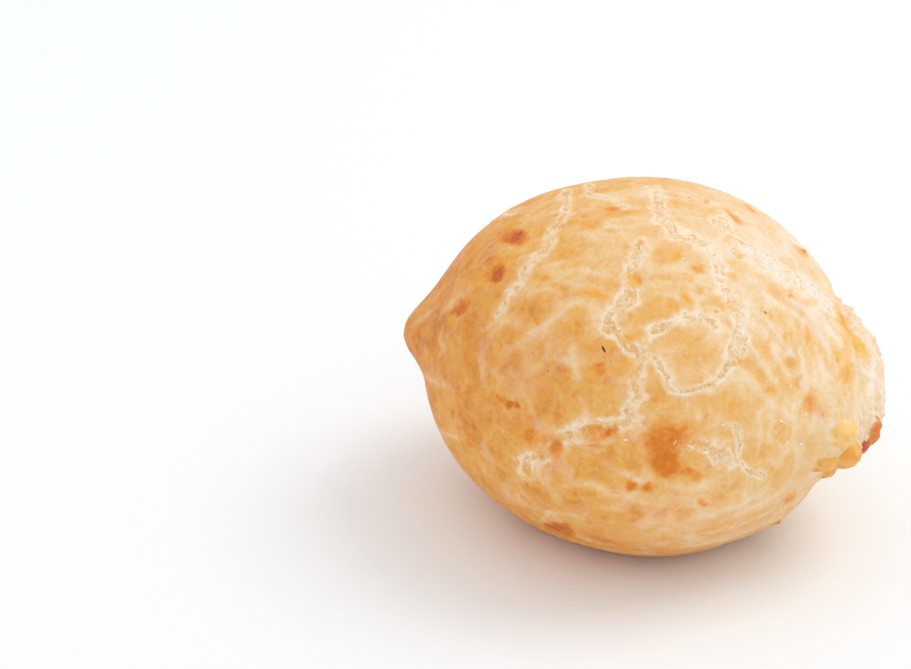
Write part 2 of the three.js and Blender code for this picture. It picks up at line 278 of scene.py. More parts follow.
def measure_closely(points, path):
    """Each point's distance from a path, its side (1 on the left) and how far along the
    path it lies, from 0 to 1."""
    nearest = np.full(len(points), FAR_OFF)
    side, along = np.ones(len(points)), np.zeros(len(points))
    for index, (start, end) in enumerate(zip(path, path[1:])):
        run = end - start
        offset = points - start
        share = np.clip(offset @ run / (run @ run), 0, 1)
        distance = np.linalg.norm(offset - share[:, None] * run, axis=1)
        closer = distance < nearest
        nearest[closer] = distance[closer]
        turned = np.einsum("ij,ij->i", np.cross(run, offset[closer]), points[closer])
        side[closer] = np.where(turned < 0, -1, 1)
        along[closer] = (index + share[closer]) / (len(path) - 1)
    return nearest, side, along


def measure_from(points, path, reach=6):
    """The same measures, but points further off than `reach` count as very far."""
    nearest = np.full(len(points), FAR_OFF)
    side, along = np.ones(len(points)), np.zeros(len(points))
    middle = path.mean(axis=0)
    spread = np.linalg.norm(path - middle, axis=1).max() + reach
    close = np.linalg.norm(points - middle, axis=1) < spread
    nearest[close], side[close], along[close] = measure_closely(points[close], path)
    return nearest, side, along


def bell(distance, radius):
    """1 at no distance, falling softly to about a third at the radius."""
    return np.exp(-((distance / radius) ** 2))


def smooth_step(value, low, high):
    """0 below low, 1 above high, and smooth between."""
    share = np.clip((value - low) / (high - low), 0, 1)
    return share * share * (3 - 2 * share)


def grain(points, size, octaves=2, stretch=(1, 1, 1), shift=0.0):
    """Soft random swells, about -1 to 1 high and each about `size` millimetres wide."""
    places = points / (size * np.array(stretch)) + shift
    return np.array([noise.fractal(Vector(place), 1, 2, octaves) for place in places])


# Where the dough was drawn out: (where that starts, where it is full).
DRAWN_TO_END, DRAWN_ABOVE_HEEL = (6, 16), (-12, -5)
DRAWN_ON_CROWN, DRAWN_UNDER_HEEL = (9, 17), (7, 14)
STRETCHED_LENGTHWISE, STRETCHED_ROUND = (2.6, 0.9, 0.9), (0.8, 2.2, 2.2)


def drawn_round_end(points):
    """Where the dough was drawn round and round beside its torn end: 1 there, else 0."""
    return smooth_step(points[:, 0], *DRAWN_TO_END) * smooth_step(points[:, 2], *DRAWN_ABOVE_HEEL)


def drawn_lengthwise(points):
    """Where it was drawn along the ball, on the crown and the heel."""
    height = points[:, 2]
    crown, heel = smooth_step(height, *DRAWN_ON_CROWN), smooth_step(-height, *DRAWN_UNDER_HEEL)
    return np.maximum(crown, heel) * (1 - drawn_round_end(points))


def stretched_grain(points, size, octaves, shift):
    """Swells drawn out the way the dough was pulled."""
    round_end, lengthwise = drawn_round_end(points), drawn_lengthwise(points)
    even = grain(points, size, octaves, shift=shift)
    drawn = grain(points, size, octaves, STRETCHED_LENGTHWISE, shift + 5)
    rings = grain(points, size, octaves, STRETCHED_ROUND, shift + 9)
    return even * (1 - lengthwise - round_end) + drawn * lengthwise + rings * round_end


JOSTLE_SEED = 3
noise.seed_set(JOSTLE_SEED)


def jostle(points, bends):
    """Points pushed about at random, so that what is measured from them is ragged. Each
    bend is (how long it is, how far it goes)."""
    for length, amount in bends:
        pushes = [noise.noise_vector(Vector(place / length))[:] for place in points]
        points = points + amount * np.array(pushes)
    return points


def waves(points, length):
    """Broad swells from -1 to 1 that never quite repeat."""
    x, y, z = (points / length).T
    return np.sin(x + 1.3 * np.sin(y + 0.4)) * np.cos(y - 1.1 * np.sin(z)) * np.cos(0.9 * z + 0.5 * x)


def raggedness(points):
    """What makes the edge of torn crust wander in and out."""
    fine_tears, long_curves = grain(points, 0.8, 3), grain(points, 2.4, 1, shift=31)
    return 0.5 * fine_tears + 0.9 * long_curves


CRACK_BENDS = [(2.2, 0.45)]
CRACK_END_WIDTH = 0.6
CRACK_BLUNT_ENDS = (0.1, 0.9)
CRACK_TIGHTNESS = 0.85
TORN_WAY, TORN_BEYOND, TORN_RAGGEDNESS = (90, 4), 15, 0.3


def crack_gap(points, ragged):
    """How far each point is from the edge of the nearest crack: below 0 inside one."""
    gap = np.full(len(points), FAR_OFF)
    bent = jostle(points, CRACK_BENDS)
    for width, route in CRACKS.values():
        distance, _, along = measure_from(bent, lay_route(route))
        swell = np.sin(math.pi * np.clip(along, *CRACK_BLUNT_ENDS))
        half = width / 2 * (CRACK_END_WIDTH + (1 - CRACK_END_WIDTH) * swell)
        gap = np.minimum(gap, (distance - CRACK_TIGHTNESS * half) / min(width, 1) + ragged)
    return gap


def torn_share(points, ragged):
    """How far inside the torn end, where the crust came off, each point is. It is below
    0 on the crust."""
    path = lay_route(TORN_RIM + TORN_RIM[:1])
    distance, side, _ = measure_from(points, path, FAR_OFF)
    near_end = points @ toward(*TORN_WAY) > TORN_BEYOND
    inside = np.where(near_end, distance * -side, -np.maximum(distance, 1))
    return inside + TORN_RAGGEDNESS * ragged


def big_relief(points):
    """The relief that crust and crumb share: swells, lifted flakes, folds, knobs and
    blisters."""
    torn = bell(np.linalg.norm(points - np.array(TORN_CENTRE), axis=1), TORN_REACH)
    height = SWELL_HEIGHT * waves(points, SWELL_LENGTH)
    height += TORN_HEIGHT * torn * waves(points, TORN_LENGTH)
    for lift, drop, fade, route in FLAKES.values():
        distance, side, along = measure_from(points, lay_route(route))
        across = smooth_step(side * distance, -FLAKE_EDGE, FLAKE_EDGE)
        away = bell(distance, fade) * np.sqrt(np.sin(math.pi * along))
        height += away * (lift * across - drop * (1 - across))
    for fold_height, width, route in FOLDS.values():
        distance, _, along = measure_from(points, lay_route(route))
        height += fold_height * bell(distance, width / 2) * np.sin(math.pi * along)
    for bearing, rise, knob_height, radius in KNOBS:
        distance = np.linalg.norm(points - place_on_form(bearing, rise), axis=1)
        height += knob_height * bell(distance, radius)
    return height


WRINKLE_WIDTH, WRINKLE_BAND = 0.36, 1.1
WRINKLE_BENDS, FLAKE_BENDS = [(1.1, 0.35)], [(0.7, 0.25)]
# Loose wrinkles between the laid ones: (spacing, where in the noise, strength).
LOOSE_WRINKLES = [(4.2, 11.0, 0.4), (2.6, 23.0, 0.3)]
LOOSE_WIDTH, LOOSE_PATCHES = 0.06, 6
OFF_THE_TIP = (-22, -6)
# Where a spot starts to fade and where it ends, in its half sizes.
SOFT_FADE, FLAKE_FADE, SCORCH_FADE, SHARP_FADE = (0.5, 2.0), (0.5, 1.4), (0.4, 1.35), (0.7, 1.3)


def wrinkling(points):
    """How far each point is up a fine wrinkle in the crust, 1 on its ridge, and how far
    within the pale band along it."""
    bent = jostle(points, WRINKLE_BENDS)
    ridges, bands = np.zeros(len(points)), np.zeros(len(points))
    for route in WRINKLES:
        distance, _, along = measure_from(bent, lay_route(route))
        full = 0.35 + 0.5 * np.sin(math.pi * along)
        ridges = np.maximum(ridges, bell(distance, WRINKLE_WIDTH) * full)
        bands = np.maximum(bands, bell(distance, WRINKLE_BAND) * full)
    off_the_tip = smooth_step(points[:, 0], *OFF_THE_TIP)
    for spacing, shift, strength in LOOSE_WRINKLES:
        shown = smooth_step(grain(points, LOOSE_PATCHES, shift=shift + 3), -0.1, 0.4)
        loose = bell(stretched_grain(points, spacing, 2, shift), LOOSE_WIDTH) * shown * off_the_tip
        ridges = np.maximum(ridges, strength * loose)
    flakes = spot_share(jostle(bent, FLAKE_BENDS), PALE_FLAKES, FLAKE_FADE)
    return np.maximum(ridges, flakes), bands


PLEAT_WIDTH = 0.34
PLEAT_BENDS = [(2.0, 0.3), (0.9, 0.2)]
PLEATED_SIDE = (-5, 8)
FURROW = {"depth": 0.6, "off the ridge": 1.0, "width": 0.45}


def pleating(points):
    """The broad pleats beside the torn end: 1 on each ridge and -1 in the furrows between."""
    bent = jostle(points, PLEAT_BENDS)
    ridges, furrows = np.zeros(len(points)), np.zeros(len(points))
    for route in PLEATS + [route for _, _, route in FOLDS.values()]:
        distance, _, along = measure_from(bent, lay_route(route))
        full = np.sqrt(np.sin(math.pi * along))
        ridges = np.maximum(ridges, bell(distance, PLEAT_WIDTH) * full)
        furrow = FURROW["depth"] * bell(distance - FURROW["off the ridge"], FURROW["width"])
        furrows = np.maximum(furrows, furrow * full)
    return (ridges - furrows * (1 - ridges)) * smooth_step(points[:, 0], *PLEATED_SIDE)


BAKED_AT_MIDDLE = 0.58


def toasting_and_painted_light(points):
    """How far each point is baked, from 0, pale, to 1, brown, with painted sheen and shade laid in."""
    x, _, z = points.T
    # Paler towards the right, the torn side and the crown, darker towards the left: partly real
    # browning, partly painted sheen and shade from the lamp at the upper right and behind.
    slopes = -0.0055 * x - 0.00024 * x * z - 0.00004 * x * x - 0.00007 * z * z
    torn_side = -0.12 * smooth_step(x, 4, 20) - 0.05 * smooth_step(x, 4, 16) * smooth_step(-z, -3, 5)
    crown = -0.14 * smooth_step(z, 8, 20)
    foot = 0.08 * smooth_step(-z, 8, 16) + 0.2 * smooth_step(-z, 15, 19)
    tip = 0.09 * smooth_step(-x, 20, 28)
    above_the_tip = 0.04 * smooth_step(-x, 5, 18) * smooth_step(z, 8, 16)
    broad_patches = 0.14 * stretched_grain(points, 4.5, 2, 2.0)
    small_patches = 0.12 * stretched_grain(points, 1.7, 3, 7.0)
    sides = slopes + torn_side + crown + foot + tip + above_the_tip
    return BAKED_AT_MIDDLE + sides + broad_patches + small_patches


def paler_pinker_patches(points):
    """Where the crust is paler and pinker: on the lower right and towards the top, in patches."""
    x, _, z = points.T
    low = smooth_step(x, -8, 10) * smooth_step(-z, 0, 9)
    high = smooth_step(z, 13, 20) * smooth_step(x, -14, 2)
    patches = 0.3 * grain(points, 3, shift=51)
    return np.clip(np.maximum(0.8 * low, 0.6 * high) + patches, 0, 1.3)


# Spots where cheese in the crust browned: (bearing, rise, half length, half width, turn
# from lengthwise, heat). Heat goes from 0, golden, to 1, dark.
BROWNED = [
    (-82, 49, 1.7, 1.0, -65, 0.92), (-86, 46, 1.4, 0.8, -65, 0.75), (-97, 36, 1.6, 0.5, -85, 0.45),
    (-76, 55, 1.9, 0.2, -40, 0.3), (-76, 38, 0.8, 0.4, -45, 0.45), (-70, 39, 1.2, 1.0, -85, 0.88),
    (-73, 36, 1.2, 0.7, -50, 0.55), (-78, 32, 1.8, 0.65, -40, 0.35), (-75, 24, 1.8, 0.8, -10, 0.8),
    (-84, 11, 0.6, 0.55, 60, 0.3), (-61, 32, 0.9, 0.5, -25, 0.3), (-48, 36, 0.9, 0.6, -25, 0.3),
    (-50, 46, 1.2, 0.65, -25, 0.2), (-44, 56, 1.8, 0.75, -25, 0.3), (-52, 68, 1.2, 0.75, -30, 0.35),
    (-61, 77, 1.0, 0.5, -20, 0.5), (-22, 48, 1.5, 0.45, -20, 0.3), (-17, 52, 1.0, 0.4, -5, 0.25),
    (-14, 64, 0.7, 0.6, -65, 0.3), (-5, 66, 0.5, 0.3, -85, 0.4), (-5, 54, 1.0, 0.45, -85, 0.35),
    (-62, 18, 0.6, 0.5, -70, 0.45), (-81, 5, 0.9, 0.4, 10, 0.5), (-35, 28, 0.7, 0.35, -5, 0.3),
    (-13, 27, 0.8, 0.8, -15, 0.55), (-16, 26, 0.5, 0.35, 0, 0.4), (101, 73, 0.7, 0.35, 75, 0.4),
    (86, 65, 1.3, 0.6, -50, 0.5), (7, 61, 1.1, 1.0, 55, 0.3), (26, 56, 0.9, 0.6, -5, 0.42),
    (61, 39, 0.4, 0.25, 35, 0.5), (58, 27, 1.3, 0.55, 85, 0.3), (47, 23, 1.0, 0.5, 5, 0.38),
    (41, 30, 1.1, 0.5, 55, 0.25), (31, 27, 1.0, 0.6, 5, 0.35), (94, 41, 1.1, 0.7, 85, 0.6),
    (64, 14, 0.8, 0.4, 60, 0.3), (-44, 10, 0.8, 0.35, -20, 0.65), (-40, 10, 0.8, 0.45, 5, 0.8),
    (-37, 11, 0.5, 0.4, 30, 0.75), (-32, 9, 0.7, 0.5, 20, 0.4), (-32, 4, 1.4, 0.55, 30, 0.6),
    (-23, 3, 1.2, 0.8, 70, 0.6), (-28, 2, 1.2, 0.75, 30, 0.35), (-23, -8, 0.7, 0.4, 35, 0.35),
    (-64, -3, 1.0, 0.5, 70, 0.55), (-56, -9, 1.0, 0.5, 35, 0.5), (-9, 15, 0.6, 0.35, 5, 0.35),
    (-12, 11, 1.0, 0.35, 10, 0.5), (-9, 10, 0.6, 0.45, 85, 0.65), (-7, 11, 0.5, 0.35, 10, 0.55),
    (-2, -5, 0.7, 0.65, 65, 0.6), (2, -5, 0.9, 0.45, -90, 0.55), (-7, -8, 0.6, 0.2, 10, 0.45),
    (-29, -33, 3.0, 1.0, 60, 0.85), (-25, -34, 2.0, 0.8, 75, 0.75), (-42, -30, 2.6, 1.0, 70, 0.35),
    (-4, -36, 1.0, 0.45, 85, 0.4), (-8, -26, 0.5, 0.3, 80, 0.35), (3, 1, 0.7, 0.65, 0, 0.3),
    (34, 2, 0.9, 0.8, -5, 0.35), (38, 18, 0.6, 0.45, -5, 0.35), (48, 17, 0.7, 0.5, -90, 0.4),
    (65, 13, 1.0, 0.4, 65, 0.4), (26, 17, 1.0, 0.6, -5, 0.3), (51, 11, 1.1, 0.7, 70, 0.43),
    (53, 8, 1.2, 0.6, -75, 0.4), (18, -12, 0.7, 0.45, -35, 0.5), (23, -10, 0.6, 0.35, -35, 0.3),
    (51, -22, 1.5, 0.8, -70, 0.5), (12, -30, 0.7, 0.55, -55, 0.3), (53, -33, 0.5, 0.4, 0, 0.6),
    (-28, 4, 2.3, 0.8, 20, 0.42), (-11, 10, 1.8, 0.7, 5, 0.5), (-41, 10, 1.3, 0.5, -25, 0.6),
    (30, 43, 0.7, 0.5, 0, 0.3), (-3, 26, 1.4, 0.5, -80, 0.25),
]
# The large scorch beside the blister's lip, spot over spot.
SCORCH = [
    (6, 10, 2.6, 2.6, -70, 0.34), (6, 3.5, 3.2, 2.7, -75, 0.4), (6.5, 2, 1.8, 1.3, -30, 0.36),
    (7.5, 6, 5.2, 4.0, -70, 0.18), (3, 9, 1.6, 1.2, -85, 0.2), (12, 10, 2.6, 1.4, -10, 0.3),
    (14, -1, 2.0, 0.8, -20, 0.44),
]
# Flecks of cheese that melted and stayed yellow.
YELLOW = [
    (-33, -8, 0.5, 0.35, 0, 0.9), (17, 61, 0.7, 0.4, 70, 0.8), (52, 56, 0.6, 0.45, 75, 0.5),
    # The long one at bearing 80, rise 18 lies beside the torn rim: partly painted shadow under the
    # crust's edge, partly golden crumb.
    (16, 47, 0.8, 0.35, -50, 0.9), (48, 30, 0.4, 0.35, 40, 0.7), (80, 18, 3.0, 1.1, -62, 1.0),
    (-17, 22, 0.4, 0.3, 0, 0.5), (-19, 1, 0.4, 0.3, 0, 0.5), (-22, 47, 1.6, 0.4, -20, 0.8),
    (40, 51, 0.6, 0.4, 0, 0.5), (4, 13, 0.8, 0.5, 0, 0.5), (-6, 53, 0.8, 0.5, -60, 0.9),
    (-5, 36, 0.9, 0.4, 20, 0.8), (-12, 34, 0.5, 0.3, 0, 0.7), (-5, 29, 0.7, 0.5, 0, 0.6),
    (4, 47, 0.6, 0.3, 20, 0.6), (55, 42, 1.2, 0.7, -15, 0.5), (70, 33, 1.5, 0.4, 35, 0.4),
    (27, 45, 0.8, 0.5, 30, 0.4), (11, 45, 0.8, 0.5, 10, 0.35), (56, 62, 0.7, 0.4, 55, 0.4),
    (45, 55, 0.6, 0.3, 0, 0.4),
]
# Specks of burnt flour: the last number is how dark each is.
SPECKS = [
    (-13, 32, 0.45, 0.14, -60, 1.0), (45, 38, 0.2, 0.2, 0, 0.6), (-48, 36, 0.2, 0.15, 0, 0.3),
    (-29, 23, 0.14, 0.14, 0, 0.4), (26, 42, 0.3, 0.18, 0, 0.3), (106, 78, 0.2, 0.14, 0, 0.5),
]
# Flakes that lifted off the crust and dried pale.
PALE_FLAKES = [
    (-16, 7, 2.0, 0.4, 5, 0.9), (-9, 8, 1.0, 0.5, 10, 0.9), (-13, 5, 1.8, 0.3, 0, 0.6),
    (10, 8, 0.8, 0.25, -20, 0.7), (20, 6, 1.0, 0.3, -10, 0.8), (15, 9, 1.2, 0.3, 20, 0.7),
    (-30, -3, 1.4, 0.5, 30, 0.6), (3, -3, 0.7, 0.4, 80, 0.7), (-36, -9, 1.5, 0.6, 10, 0.5),
    (7, 16, 1.2, 0.4, 0, 0.5), (-4, 14, 1.0, 0.5, 0, 0.6),
]
# Painted glints: small white highlights, laid as raised flecks on the crust.
PAINTED_GLINTS = [
    (45, 17, 0.32, 0.08, 60, 0.9), (40, 9, 0.4, 0.09, -30, 0.9), (42, 2, 0.14, 0.11, 0, 0.9),
    (47, 0, 0.2, 0.14, 20, 0.9), (49, 8, 0.18, 0.12, -60, 0.9), (40, 20, 0.22, 0.1, -40, 0.7),
    (38, 6, 0.14, 0.1, 0, 0.8), (13, 7, 0.5, 0.1, -25, 0.8), (17, 5, 0.4, 0.12, 15, 0.8),
    (9, 8, 0.35, 0.08, 70, 0.5), (11, 6, 0.3, 0.07, -40, 0.5), (-4, 9, 0.3, 0.14, 10, 0.7),
    (44, 28, 0.2, 0.08, 60, 0.7), (52, 25, 0.3, 0.07, 75, 0.7), (20, 60, 0.25, 0.1, 0, 0.7),
    (30, 55, 0.2, 0.1, -30, 0.7), (-10, 45, 0.2, 0.1, 30, 0.6), (22, 12, 0.3, 0.1, 20, 0.7),
]
HIDDEN_SPOTS, HIDDEN_SPOTS_SEED = 90, 5
SPOT_BENDS, SCORCH_BENDS, YELLOW_BENDS = [(1.2, 0.5), (0.45, 0.22)], [(2.2, 0.5)], [(0.8, 0.2)]
SCORCH_STOPS_AT_LIP, LIP_REACH = (-0.15, 0.2), 3


def spread_spots(spots, seed):
    """Browned spots strewn at random over the back and the underside."""
    pick = np.random.default_rng(seed)
    for _ in range(spots):
        bearing, height = pick.uniform(108, 252), pick.uniform(-0.8, 0.95)
        half_length, share = pick.uniform(0.5, 1.4), pick.uniform(0.35, 0.8)
        turn, heat = pick.uniform(-90, 90), pick.uniform(0.25, 0.65)
        yield bearing, math.degrees(math.asin(height)), half_length, half_length * share, turn, heat


def spot_share(points, spots, fade=SOFT_FADE):
    """How strongly each point is marked by the spots, which fade out at their edges."""
    marked = np.zeros(len(points))
    for bearing, rise, half_length, half_width, turn, strength in spots:
        out = toward(bearing, rise)
        offset = points - place_on_form(bearing, rise)
        lengthwise = np.array([1, 0, 0]) - out * out[0]
        lengthwise /= np.linalg.norm(lengthwise)
        turned = math.radians(turn)
        along = math.cos(turned) * lengthwise + math.sin(turned) * np.cross(out, lengthwise)
        far = np.hypot(offset @ along / half_length, offset @ np.cross(out, along) / half_width)
        far = np.hypot(far, offset @ out / (half_length + 1))
        marked = np.maximum(marked, strength * (1 - smooth_step(far, *fade)))
    return marked


def browning(points):
    """How dark each point is browned, from 0 to 1."""
    bent = jostle(points, SPOT_BENDS)
    heat = spot_share(bent, BROWNED + list(spread_spots(HIDDEN_SPOTS, HIDDEN_SPOTS_SEED)))
    bent = jostle(bent, SCORCH_BENDS)
    scorched = 1 - math.prod(1 - spot_share(bent, [spot], SCORCH_FADE) for spot in SCORCH)
    distance, side, _ = measure_from(points, lay_route(BLISTER_LIP))
    past_lip = smooth_step(side * distance, *SCORCH_STOPS_AT_LIP)
    scorched *= 1 - past_lip * bell(distance, LIP_REACH)
    return np.maximum(heat, scorched)


# ---------------------------------------------------------------------------
# Crumb: the inside of the dough, a pale stretchy foam. It shows where the crust split
# and all over the torn end, where melted cheese ran out of it and set in fried lumps.
# Its ball is closed, fine where it shows, and sinks under the crust elsewhere.
# ---------------------------------------------------------------------------
CRUMB_CELLS = 36
CRUMB_MARGINS = [2.0, 1.3, 0.7]
CRUMB_HIDDEN_DEPTH = 0.5
CRUMB_LEDGE_HEIGHT = 0.02
CRUMB_IN_CRACK_HEIGHT = 0.05
# From the edge of a crack: where the crumb in it ends, and where the ledge sinks away.
CRUMB_ENDS, LEDGE_SINKS, END_STARTS = (-0.2, 0.15), (0.35, 1.1), (-0.6, 0)
# Burst bubbles: (width, depth), and how far out of its middle a bubble's wall is reached.
BUBBLES, BUBBLE_BENDS, BUBBLE_WALL = [(0.62, 0.1), (0.38, 0.08)], [(0.8, 0.2)], 0.6
CRACK_RELIEF = {"foam": 0.9, "strings": 0.08}
END_RELIEF = {"foam": 0.6, "strings": 0.14, "strands": 0.3, "lumps": 0.28}
NO_LUMP = -5.0
LUMPS_MELT, CHEESE_MELTS_INTO_CRUMB, CHEESE_UNEVENNESS = 0.4, 0.3, 0.22
# Melted cheese: (bearing, rise, how deep its middle sits, half sizes outward, round and
# up, how fried).
CHEESE = [
    (59, 0, 1.3, (2.3, 2.2, 2.1), 0.14),
    (62, -7, 1.3, (2.5, 2.3, 2.1), 0.38),
    (57, -8, 1.7, (2.2, 2.6, 1.8), 0.32),
    (60, -13, 1.4, (1.9, 1.8, 1.3), 0.36),
    (72, -5, 0.5, (1.3, 1.4, 2.3), 0.62),
    (70, -8, 0.5, (1.1, 1.4, 1.5), 0.9),
]


def cheese_lumps(ways):
    """How far the cheese stands out from the form each way, and how fried it is."""
    form = smooth_reach(ways)
    rise, fried = np.full(len(ways), NO_LUMP), np.zeros(len(ways))
    for bearing, up, sunk, half_sizes, fried_share in CHEESE:
        out = toward(bearing, up)
        east = np.cross((0, 0, 1), out)
        east /= np.linalg.norm(east)
        turn = np.array([out, east, np.cross(out, east)])
        middle = turn @ (place_on_form(bearing, up) - sunk * out)
        lump = np.maximum(far_side(ways @ turn.T, middle, half_sizes) - form, NO_LUMP)
        fried = np.where(lump > rise, fried_share, fried)
        rise = soft_max(rise, lump, LUMPS_MELT)
    return rise, fried


def burst_bubbles(points, size):
    """0 in the middle of each bubble and 1 on the walls between them."""
    middles = np.array([noise.voronoi(Vector(place / size))[0][0] for place in points])
    return np.clip(middles / BUBBLE_WALL, 0, 1) ** 2


def crumb_shows(points, margin):
    """Where crumb or cheese shows, or comes within a margin of showing."""
    in_crack = crack_gap(points, raggedness(points)) < margin
    on_end = torn_share(points, 0) > -margin
    cheese_height, _ = cheese_lumps(points / np.linalg.norm(points, axis=1)[:, None])
    return in_crack | on_end | (cheese_height > -margin)


crumb_shape = ball_mesh(CRUMB_CELLS)
for margin in CRUMB_MARGINS:
    refine_where(crumb_shape, lambda points: crumb_shows(points, margin))

crumb_ways = ways_of(crumb_shape)
crumb_points = on_form(crumb_ways)
crumb_ragged = raggedness(crumb_points)
crumb_gap = crack_gap(crumb_points, crumb_ragged)
crumb_torn = torn_share(crumb_points, crumb_ragged)
bubble_walls = [burst_bubbles(jostle(crumb_points, BUBBLE_BENDS), width) for width, _ in BUBBLES]
foam = sum(depth * (walls - 1) for (_, depth), walls in zip(BUBBLES, bubble_walls))
strings = stretched_grain(crumb_points, 1.0, 3, 4.0)
strands = grain(crumb_points, 0.9, 3, (0.5, 3, 3), 17)
relief = {"foam": foam, "strings": strings, "strands": strands, "lumps": grain(crumb_points, 1.1)}
in_crack = 1 - smooth_step(crumb_gap, *CRUMB_ENDS)
near_crack = 1 - smooth_step(crumb_gap, *LEDGE_SINKS)
on_end = smooth_step(crumb_torn, *END_STARTS)
crack_level = CRUMB_IN_CRACK_HEIGHT + sum(depth * relief[kind] for kind, depth in CRACK_RELIEF.items())
end_level = sum(depth * relief[kind] for kind, depth in END_RELIEF.items())
crumb_height = -CRUMB_HIDDEN_DEPTH + (CRUMB_HIDDEN_DEPTH + CRUMB_LEDGE_HEIGHT) * near_crack
crumb_height = crumb_height + (crack_level - crumb_height) * in_crack
crumb_height = crumb_height + (end_level - crumb_height) * on_end
cheese_height, cheese_fried = cheese_lumps(crumb_ways)
cheese_height = cheese_height + CHEESE_UNEVENNESS * grain(crumb_points, 0.9, 3, shift=2)
cheese_share = smooth_step(cheese_height - crumb_height, -0.15, 0.2)
crumb_height = soft_max(crumb_height, cheese_height, CHEESE_MELTS_INTO_CRUMB)
crumb_height = crumb_height + big_relief(crumb_points)
crumb_measures = {
    "bake": toasting_and_painted_light(crumb_points),
    "pits": 1 - np.minimum(*bubble_walls),
    "hollow": np.clip(0.5 - 1.1 * (strands * on_end + strings * (1 - on_end)), 0, 1),
    "browned": browning(crumb_points),
    "yellow": spot_share(crumb_points, YELLOW),
    "cheese": cheese_share,
    "in crack": 1 - on_end,
    "gap": np.minimum(crumb_gap, 2) + 3 * on_end,
    "fried": cheese_fried + 0.15 * grain(crumb_points, 1.2, 2, shift=3),
}
crumb_skin = crumb_points + crumb_ways * crumb_height[:, None]
crumb = finish_shape("crumb", crumb_shape, crumb_skin, crumb_measures)


class Field:
    """A number or colour that changes over a surface: one output socket of a material."""

    def __init__(self, finish, socket):
        self.finish = finish
        self.socket = socket

    def calculate(self, operation, first, second):
        return self.finish.node("ShaderNodeMath", {"operation": operation}, {0: first, 1: second})

    def __add__(self, other):
        return self.calculate("ADD", self, other)

    def __radd__(self, other):
        return self.calculate("ADD", other, self)

    def __sub__(self, other):
        return self.calculate("SUBTRACT", self, other)

    def __rsub__(self, other):
        return self.calculate("SUBTRACT", other, self)

    def __mul__(self, other):
        return self.calculate("MULTIPLY", self, other)

    def __rmul__(self, other):
        return self.calculate("MULTIPLY", other, self)


class Finish:
    """A material being built up from nodes on the piece's own coordinates."""

    def __init__(self, name, **constants):
        self.material = bpy.data.materials.new(name)
        self.material.use_nodes = True
        self.tree = self.material.node_tree
        self.shader = self.tree.nodes["Principled BSDF"]
        for socket, value in constants.items():
            self.shader.inputs[socket.replace("_", " ")].default_value = value
        self.place = self.node("ShaderNodeTexCoord", {}, {}, "Object")

    def node(self, kind, settings, inputs, output=0):
        """Adds a node of a kind, sets it up first and then feeds its sockets."""
        made = self.tree.nodes.new(kind)
        for setting, value in settings.items():
            if setting == "stops":
                self.set_stops(made.color_ramp, value)
            else:
                setattr(made, setting, value)
        for name, value in inputs.items():
            self.feed(made.inputs[name], value)
        return Field(self, made.outputs[output])

    def feed(self, socket, value):
        """Links a field to a socket, or sets a plain value on it."""
        if isinstance(value, Field):
            self.tree.links.new(value.socket, socket)
        else:
            socket.default_value = value

    def set_stops(self, ramp, stops):
        while len(ramp.elements) < len(stops):
            ramp.elements.new(0.5)
        for element, (position, colour) in zip(ramp.elements, stops):
            element.position = position
            element.color = colour

    def measure(self, name):
        """A measure that was kept on the piece's own points."""
        return self.node("ShaderNodeAttribute", {"attribute_name": name}, {}, "Fac")

    def cloud(self, size, detail=2):
        """Soft noise from 0 to 1, its patches `size` millimetres wide."""
        inputs = {"Vector": self.place, "Scale": 1 / (size * MM), "Detail": detail}
        return self.node("ShaderNodeTexNoise", {}, inputs, "Fac")

    def pores(self, size):
        """How far each place is from the middle of the nearest pore, from 0 to about 1."""
        inputs = {"Vector": self.place, "Scale": 1 / (size * MM)}
        return self.node("ShaderNodeTexVoronoi", {}, inputs, "Distance")

    def plate_edges(self, size, stretch, share):
        """Thin lines between crazed plates of about `size` millimetres: 1 on a line. The
        plates are drawn out by `stretch`, and the lines show on `share` of the surface."""
        inputs = {"Vector": self.place, "Scale": 1 / (0.4 * size * MM), "Detail": 1}
        swirl = self.node("ShaderNodeTexNoise", {}, inputs, "Color")
        inputs = {0: swirl, 1: (0.5 * size * MM,) * 3, 2: self.place}
        bent = self.node("ShaderNodeVectorMath", {"operation": "MULTIPLY_ADD"}, inputs)
        inputs = {0: bent, 1: tuple(1 / length for length in stretch)}
        drawn = self.node("ShaderNodeVectorMath", {"operation": "MULTIPLY"}, inputs)
        inputs = {"Vector": drawn, "Scale": 1 / (size * MM)}
        far = self.node("ShaderNodeTexVoronoi", {"feature": "DISTANCE_TO_EDGE"}, inputs)
        shown = self.step(self.cloud(1.5 * size, 2), 0.62 - 0.25 * share, 0.68 - 0.25 * share)
        return self.step(far, 0.2, 0.0) * shown

    def step(self, value, low, high):
        """0 below low, 1 above high, and smooth between; or the reverse if low > high."""
        inputs = {"Value": value, "From Min": low, "From Max": high}
        return self.node("ShaderNodeMapRange", {"interpolation_type": "SMOOTHSTEP"}, inputs)

    def ramp(self, value, stops):
        """The colour that a number from 0 to 1 stands for."""
        return self.node("ShaderNodeValToRGB", {"stops": stops}, {"Fac": value})

    def tint(self, share, under, over):
        """Lays one colour over another by a share from 0 to 1."""
        inputs = {0: share, 6: under, 7: over}
        return self.node("ShaderNodeMix", {"data_type": "RGBA"}, inputs, 2)

    def apply(self, piece, colour, roughness, relief, relief_depth):
        """Finishes the material and lays it on a piece. The relief is in millimetres."""
        self.feed(self.shader.inputs["Base Color"], colour)
        self.feed(self.shader.inputs["Roughness"], roughness)
        inputs = {"Strength": 1, "Distance": relief_depth * MM, "Height": relief}
        self.feed(self.shader.inputs["Normal"], self.node("ShaderNodeBump", {}, inputs))
        piece.data.materials.append(self.material)


def paint(code):
    """A colour written as on a screen, in the linear light that a material wants."""
    parts = [int(code[i:i + 2], 16) / 255 for i in (0, 2, 4)]
    return (*(p / 12.92 if p <= 0.04045 else ((p + 0.055) / 1.055) ** 2.4 for p in parts), 1)


